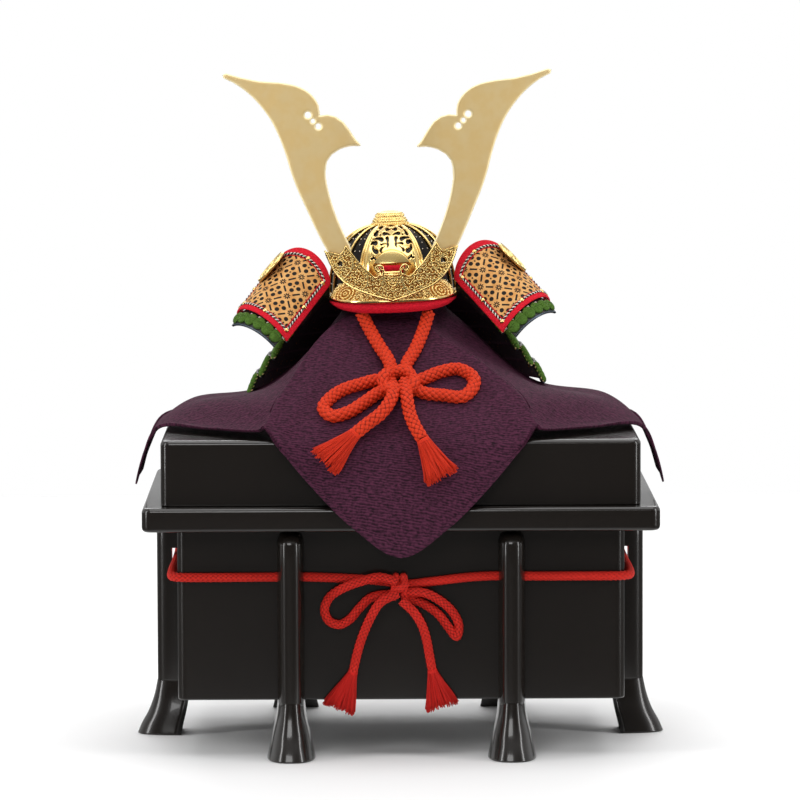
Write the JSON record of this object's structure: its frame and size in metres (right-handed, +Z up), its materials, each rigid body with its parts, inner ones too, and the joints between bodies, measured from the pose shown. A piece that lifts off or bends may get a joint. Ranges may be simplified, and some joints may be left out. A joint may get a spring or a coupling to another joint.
{
  "type": "ornamental samurai helmet on a cloth-covered lacquered chest",
  "caption": "Display helmet with tall flat horns, turned-back wings and a flared neck guard, on a plum cloth over a black lacquered chest with legs and tied cords",
  "frame": {"origin": "on the floor under the middle of the chest", "axes": "+Z up, the helmet and the chest face -Y, +X is the viewer's right from the front"},
  "size_m": [0.369, 0.2994, 0.4647],
  "materials": {
    "lacquer": "deep black lacquer, polished",
    "bowl_lacquer": "black lacquer over metal, satin",
    "gold": "bright gold plate, pierced and chased",
    "pale_gold": "pale satin gold with a bright edge",
    "printed_leather": "tan leather with a black printed pattern and a red border",
    "red_lacquer": "red cloth binding",
    "laced_lames": "black lames laced with green silk",
    "plum_cloth": "plum crepe, matt, fine grain",
    "post_wood": "plain turned wood",
    "orange_cord": "round braided silk cord",
    "red_cord": "round braided silk cord"
  },
  "bodies": {
    "root": {"chest_case": "lacquer", "chest_rim": "lacquer", "chest_lid": "lacquer", "leg_side_right": "lacquer", "leg_back_right": "lacquer", "leg_back_left": "lacquer", "leg_side_left": "lacquer", "leg_front_left": "lacquer", "leg_front_right": "lacquer", "stand_post": "post_wood", "cloth": "plum_cloth", "chest_cord_band": "red_cord", "chest_cord_knot": "red_cord", "chest_cord_loop_left": "red_cord", "chest_cord_loop_right": "red_cord", "chest_cord_end_left": "red_cord", "chest_cord_end_right": "red_cord", "chest_tassel_left": "red_cord", "chest_tassel_right": "red_cord", "helmet_cord_knot": "orange_cord", "helmet_cord_strand_left": "orange_cord", "helmet_cord_strand_right": "orange_cord", "helmet_cord_loop_left": "orange_cord", "helmet_cord_loop_right": "orange_cord", "helmet_cord_end_left": "orange_cord", "helmet_cord_end_right": "orange_cord", "helmet_tassel_left": "orange_cord", "helmet_tassel_right": "orange_cord", "helmet_bowl": "bowl_lacquer", "bowl_ribs": "gold", "bowl_front_plate": "gold", "crown_finial": "gold", "brim_plate": "gold", "brim_edge": "red_lacquer", "crest_base": "gold", "horn_left": "pale_gold", "horn_right": "pale_gold", "wing_left": "printed_leather", "under_wing_left": "laced_lames", "wing_rosette_left": "gold", "wing_right": "printed_leather", "under_wing_right": "laced_lames", "wing_rosette_right": "gold", "neck_lame_1": "laced_lames", "neck_lame_2": "laced_lames", "neck_lame_3": "laced_lames", "neck_lame_4": "laced_lames", "neck_lame_5": "laced_lames"}
  },
  "joints": []
}
